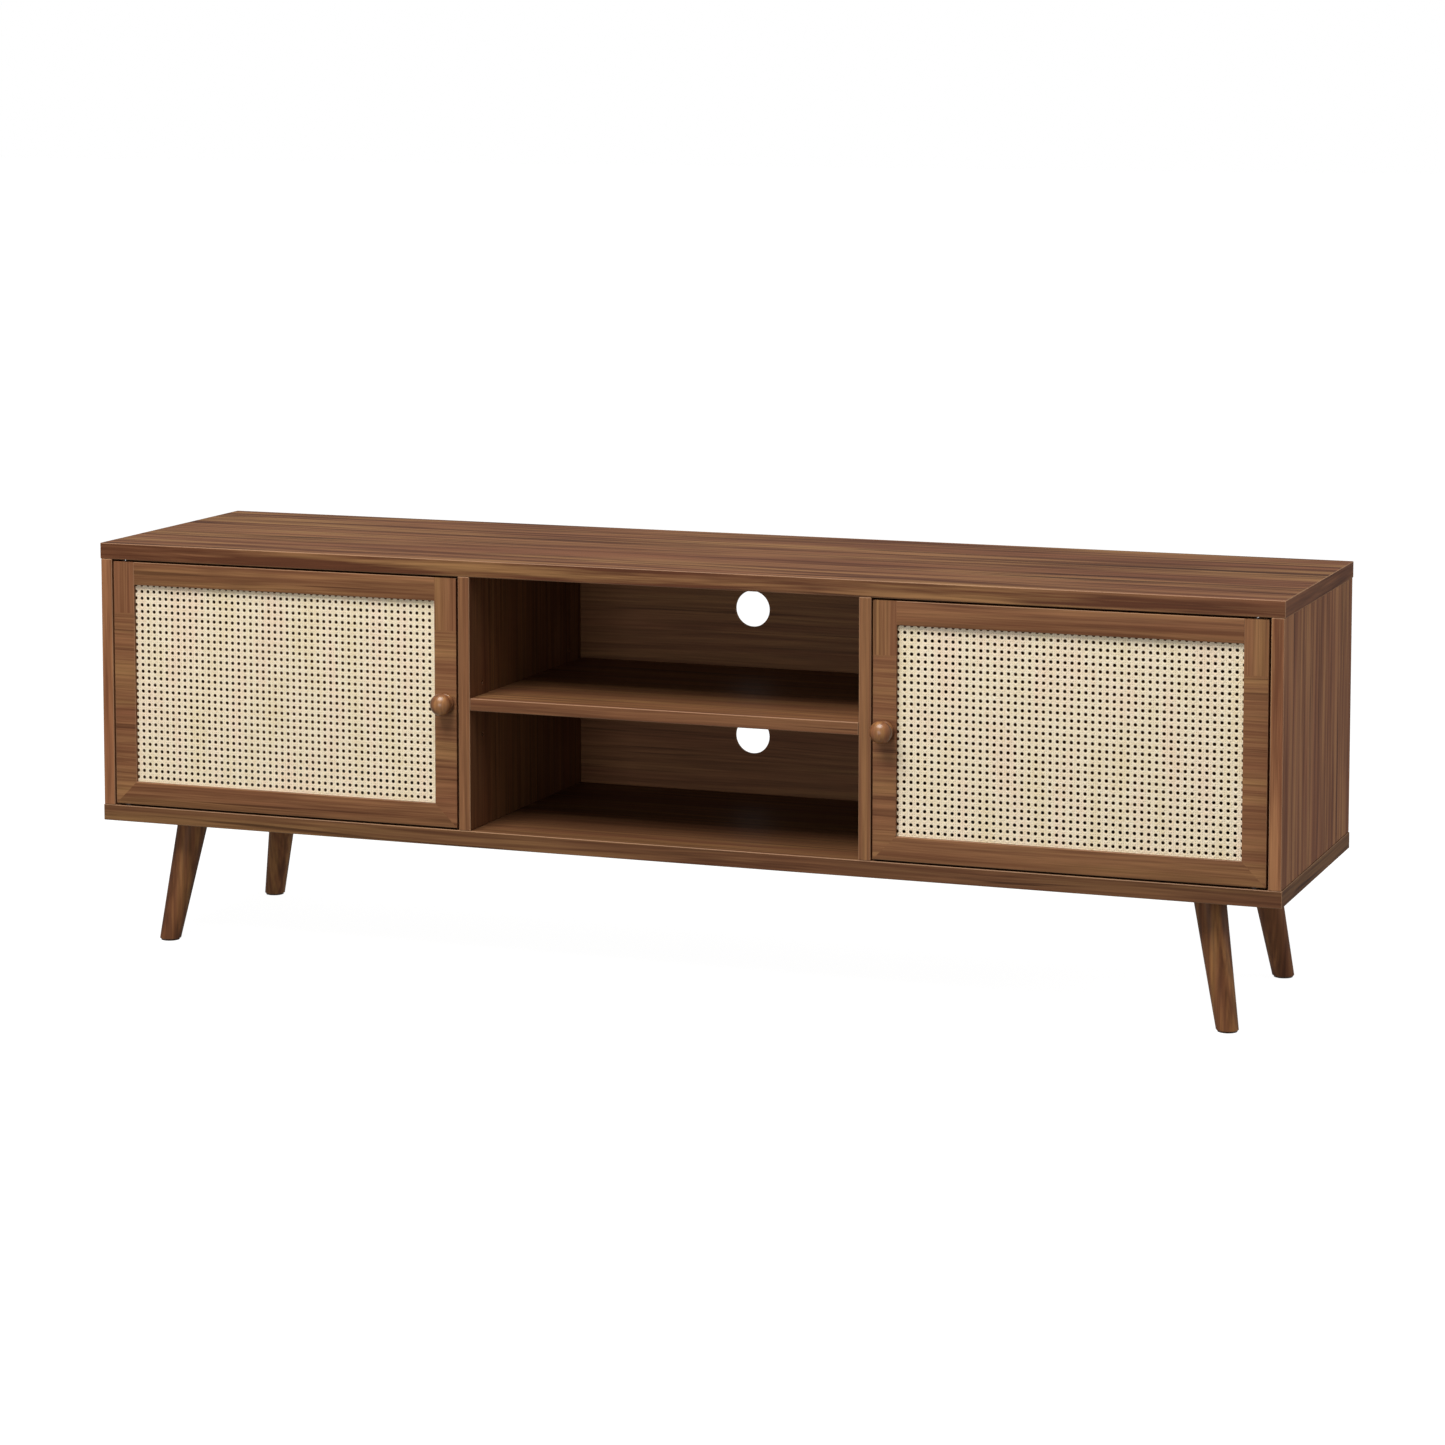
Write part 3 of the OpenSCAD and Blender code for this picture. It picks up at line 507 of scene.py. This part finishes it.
def strip(bm, steps, step, width, height, x):
    """One flat strip standing along Z at x, its middle at z = 0, waving to and fro in Y."""
    shape = Matrix.Translation((x, 0, 0)) @ Matrix.Diagonal((width / 2, strip_thick / 2, 1, 1))
    length = steps * step
    made = bmesh.ops.create_cone(bm, segments=6, radius1=1, radius2=1, depth=length, matrix=shape)["verts"]
    long_edges = {edge for vert in made for edge in vert.link_edges if edge.calc_length() > length * 0.99}
    bmesh.ops.subdivide_edges(bm, edges=list(long_edges), cuts=steps - 1, use_grid_fill=True)
    for vert in bm.verts:
        if abs(vert.co.x - x) < width / 2 + 1e-6:
            vert.co.y += height(vert.co.z)


def woven_cane(name, turn):
    """Rattan bark: pale straw with a natural gloss, streaked along each strip, its tint changing slowly."""
    material, tree, output = new_material(name)
    place = add(tree, "TexCoord", {}, {})
    along = add(tree, "Mapping", {"Rotation": (0, turn, 0)}, {"Vector": place.outputs["Object"]})
    layers = []
    for width, length, detail, source in ((0.0026, 0.09, 2, along.outputs[0]),
                                          (0.0004, 0.02, 2, along.outputs[0]),
                                          (0.03, 0.12, 3, place.outputs["Object"])):
        stretched = add(tree, "Mapping", {"Scale": (1 / width, 1, 1 / length)}, {"Vector": source})
        layers.append(add(tree, "TexNoise", {"Scale": 1, "Detail": detail},
                          {"Vector": stretched.outputs[0]}).outputs["Fac"])
    strips, fibres, blush = layers
    base = add(tree, "ValToRGB", {"stops": [(0.30, linear("#ecd5a9")), (0.50, linear("#f6e5c2")),
                                            (0.72, linear("#fdf1d6"))]}, {"Fac": strips})
    tint = add(tree, "ValToRGB", {"stops": [(0.35, linear("#e6d4b0")), (0.50, linear("#efe0c6")),
                                            (0.65, linear("#eed2bc"))]}, {"Fac": blush})
    tinted = add(tree, "Mix", {"data_type": "RGBA", 0: 0.45},
                 {6: base.outputs["Color"], 7: tint.outputs["Color"]})
    shade = add(tree, "MapRange", {"From Min": 0.25, "From Max": 0.75, "To Min": 0.92, "To Max": 1.04},
                {"Value": fibres})
    coloured = add(tree, "VectorMath", {"operation": "SCALE"},
                   {0: tinted.outputs[2], "Scale": shade.outputs[0]})
    ridged = add(tree, "Bump", {"Strength": 0.25, "Distance": 0.0001}, {"Height": fibres})
    shader = add(tree, "BsdfPrincipled", {"Roughness": 0.42, "IOR": 1.5},
                 {"Base Color": coloured.outputs[0], "Normal": ridged.outputs["Normal"]})
    tree.links.new(shader.outputs["BSDF"], output.inputs["Surface"])
    return material


cane_colours = {"upright_strips": woven_cane("rattan_bark_upright", 0),
                "level_strips": woven_cane("rattan_bark_level", math.pi / 2),
                "rising_strips": woven_cane("rattan_bark_rising", -math.pi / 4),
                "falling_strips": woven_cane("rattan_bark_falling", math.pi / 4)}


def weave_wave(z):
    """How far an upright or level strip stands off the middle at z."""
    return weave_height * math.sin(2 * math.pi * z / pitch)


def slant_wave(z):
    """How far a slanting strip stands off the middle at z."""
    return slant_height * math.cos(2 * math.pi * z / slant_pitch)


for hand in door_places:
    low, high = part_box(hand + "_cane_panel")
    middle = (low + high) / 2
    rail_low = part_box(hand + "_top_rail")[0]
    # the pairs cross half a pitch above the top rail's lower edge, so a row of holes is half behind the rail
    crossing = Vector((middle.x, middle.y, rail_low.z + pitch / 2))
    for layer, material in cane_colours.items():
        pair = layer in ("upright_strips", "level_strips")
        level = layer == "level_strips"
        one = bmesh.new()
        if pair:
            reach = high.x - low.x if level else high.z - low.z
            steps = 2 * weave_steps * math.ceil(reach / pitch + 1)
            strip(one, steps, pitch / weave_steps, strip_width, weave_wave, -pair_half)
            strip(one, steps, pitch / weave_steps, strip_width, lambda z: -weave_wave(z), pair_half)
            turn = math.pi / 2 if level else 0
            start = crossing
        else:
            way = 1 if layer == "rising_strips" else -1
            steps = 2 * slant_steps * math.ceil((high.z - low.z) / pitch + 1)
            strip(one, steps, slant_pitch / slant_steps, slant_width, lambda z: -way * slant_wave(z), 0)
            turn = way * math.pi / 4
            start = crossing + Vector((0, 0, pitch / 2))
        bmesh.ops.rotate(one, verts=one.verts, cent=(0, 0, 0), matrix=Matrix.Rotation(turn, 3, "Y"))
        bmesh.ops.translate(one, verts=one.verts, vec=start)
        bmesh.ops.recalc_face_normals(one, faces=one.faces)
        along = Vector((1, 0, 0)) if level else Vector((0, 0, 1))
        across = Vector((0, 0, 1)) if level else Vector((1, 0, 0))
        cut_flat(one, high, along)
        cut_flat(one, low, -along)
        places = [vert.co.dot(across) for vert in one.verts]
        one_mesh = bpy.data.meshes.new("one_strip")
        one.to_mesh(one_mesh)
        one.free()
        # one strip or pair for every pitch across the panel, and slanting ones that run past it are cut there
        bm = bmesh.new()
        panel_start, panel_end = low.dot(across), high.dot(across)
        for count in range(math.floor((panel_start - max(places)) / pitch),
                           math.ceil((panel_end - min(places)) / pitch) + 1):
            near, far = min(places) + count * pitch, max(places) + count * pitch
            inside = near > panel_start and far < panel_end
            sliver = far < panel_start + slant_width or near > panel_end - slant_width
            if not inside and (pair or sliver):
                continue
            placed = bmesh.new()
            placed.from_mesh(one_mesh)
            bmesh.ops.translate(placed, verts=placed.verts, vec=across * pitch * count)
            if far > panel_end:
                cut_flat(placed, high, across)
            if near < panel_start:
                cut_flat(placed, low, -across)
            placed_mesh = bpy.data.meshes.new("placed_strip")
            placed.to_mesh(placed_mesh)
            placed.free()
            bm.from_mesh(placed_mesh)
            bpy.data.meshes.remove(placed_mesh)
        bpy.data.meshes.remove(one_mesh)
        finished(bm, f"{hand}_cane_{layer}", hand + "_door", material,
                 [hand + "_cane_panel"], sharp=60)

# ---- knobs ----
# Turned beech knobs stained to match: a small foot on the frame, a narrow neck and a domed mushroom head.
# A screw from the back of the stile holds each one.
knob_foot_radius = 0.0115
knob_foot_height = 0.004
knob_neck_radius = 0.006
knob_neck_height = 0.007
knob_head_radius = 0.0135
knob_height = 0.025
knob_rim_height = 0.014
knob_edge = 0.001
knob_chamfer = 0.0003
knob_cove_radius = 0.0015
knob_cove_height = 0.0028


def bow(centre_r, centre_h, radius_r, radius_h, start, stop, count):
    """Points of an elliptical arc as (radius, height), from one angle in degrees to another."""
    angles = [math.radians(start + (stop - start) * i / count) for i in range(count + 1)]
    return [(centre_r + radius_r * math.cos(a), centre_h + radius_h * math.sin(a)) for a in angles]


knob_outline = ([(0, 0), (knob_foot_radius - knob_chamfer, 0), (knob_foot_radius, knob_chamfer)]
                + bow(knob_foot_radius - knob_edge, knob_foot_height - knob_edge, knob_edge, knob_edge,
                      0, 90, 5)
                + bow(knob_neck_radius + knob_cove_radius, knob_neck_height, knob_cove_radius,
                      knob_cove_height, 250, 180, 5)
                + bow(knob_neck_radius, knob_rim_height, knob_head_radius - knob_neck_radius,
                      knob_rim_height - knob_neck_height, -80, 0, 12)
                + bow(0, knob_rim_height, knob_head_radius, knob_height - knob_rim_height, 6, 90, 18))
for hand, offset in door_places.items():
    low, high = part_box(hand + "_knob")
    centre = (low + high) / 2
    bm = bmesh.new()
    profile = [bm.verts.new((centre.x + radius, high.y - height, centre.z))
               for radius, height in knob_outline]
    edges = [bm.edges.new(pair) for pair in zip(profile, profile[1:])]
    bmesh.ops.spin(bm, geom=profile + edges, cent=(centre.x, 0, centre.z), axis=(0, 1, 0),
                   angle=2 * math.pi, steps=turned_segments, use_merge=True)
    bmesh.ops.remove_doubles(bm, verts=bm.verts, dist=weld)
    bmesh.ops.recalc_face_normals(bm, faces=bm.faces)
    finished(bm, hand + "_knob_turned", hand + "_door",
             stained_wood("stained_beech_knob_" + hand, "Z", (offset, 0.2, 0.7), painted_light_tone=1.25, gloss=0.5,
                          roughness=0.3), [hand + "_knob"])
    dress([hand + "_knob_screw"], zinc_plated)
